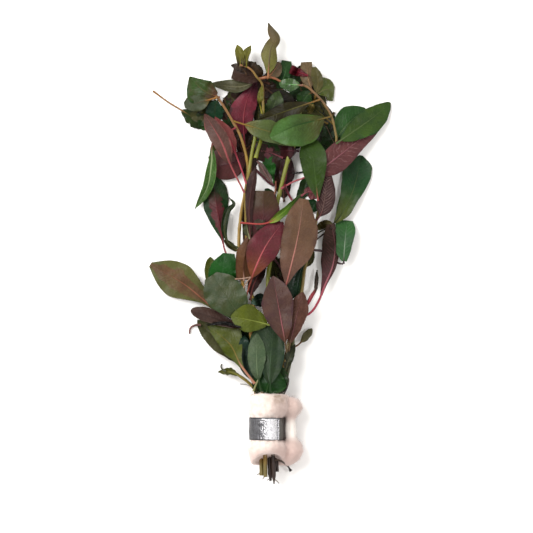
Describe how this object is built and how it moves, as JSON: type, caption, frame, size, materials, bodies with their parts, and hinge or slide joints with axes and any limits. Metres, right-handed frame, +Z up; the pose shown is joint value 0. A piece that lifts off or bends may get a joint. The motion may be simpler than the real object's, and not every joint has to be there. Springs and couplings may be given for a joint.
{
  "type": "aquarium plant bunch",
  "caption": "Cut bunch of a red and green leaved stem plant, lying on its side, its foot wrapped in filter wool held by a bent strip of soft lead.",
  "frame": {"origin": "middle of the bounding box in X and Y, on the surface that the bunch lies on", "axes": "+Y along the bunch from its wrapped foot to its leaf tips, +X to the right of the picture, +Z up from the surface"},
  "size_m": [0.13, 0.248, 0.0211],
  "materials": {
    "leaf_green": "waxy, half gloss",
    "leaf_dark_green": "waxy, half gloss",
    "leaf_olive": "waxy, half gloss",
    "leaf_brown": "satin",
    "leaf_red": "satin",
    "leaf_purple": "satin",
    "stem": "satin, green and soft",
    "wool": "fluffy, matt",
    "lead": "dull metal with bright scuffs"
  },
  "bodies": {
    "root": {"leaf_left_loose": "leaf_dark_green", "leaf_left_top": "leaf_green", "leaf_left_blue_green": "leaf_dark_green", "leaf_left_dark": "leaf_purple", "leaf_crown_crimson": "leaf_red", "leaf_crown_grey": "leaf_olive", "leaf_crown_brown": "leaf_brown", "leaf_crown_dark": "leaf_dark_green", "leaf_centre_dark": "leaf_brown", "leaf_centre_mottled": "leaf_green", "leaf_right_crown_dark": "leaf_dark_green", "leaf_crown_green": "leaf_dark_green", "leaf_crown_tan": "leaf_olive", "leaf_crown_wet": "leaf_green", "leaf_middle_dark": "leaf_purple", "leaf_right_upper": "leaf_green", "leaf_right_broad": "leaf_dark_green", "leaf_left_red_back": "leaf_red", "leaf_left_round": "leaf_green", "leaf_left_oval": "leaf_olive", "leaf_foot_outer": "leaf_olive", "stem_right_short": "stem", "stem_left": "stem", "stem_centre": "stem", "stem_centre_left": "stem", "stem_right": "stem", "stem_crown": "stem", "leaf_left_olive": "leaf_olive", "leaf_left_folded": "leaf_green", "leaf_left_crimson": "leaf_red", "leaf_left_mauve": "leaf_brown", "leaf_crossing_dark": "leaf_olive", "leaf_centre_narrow": "leaf_purple", "leaf_centre_purple": "leaf_brown", "leaf_centre_brown": "leaf_brown", "leaf_centre_crimson": "leaf_red", "leaf_centre_strip": "leaf_green", "leaf_right_veined": "leaf_brown", "leaf_right_mauve": "leaf_red", "leaf_right_long": "leaf_green", "leaf_right_green": "leaf_green", "leaf_crossing_olive": "leaf_olive", "leaf_crossing_bright": "leaf_green", "leaf_crown_bright": "leaf_green", "leaf_tip_twisted": "leaf_olive", "leaf_right_purple": "leaf_purple", "leaf_right_small": "leaf_green", "leaf_foot_collar": "leaf_green", "leaf_foot_dark": "leaf_dark_green", "leaf_foot_grey": "leaf_dark_green", "leaf_foot_yellow": "leaf_olive", "leaf_left_rolled": "leaf_brown", "leaf_left_glossy": "leaf_olive", "leaf_middle_yellow": "leaf_olive", "leaf_middle_hanging": "leaf_dark_green", "leaf_middle_broad": "leaf_brown", "leaf_middle_red_brown": "leaf_brown", "leaf_middle_mauve": "leaf_brown", "wool_wrap": "wool", "lead_strip": "lead"}
  },
  "joints": []
}
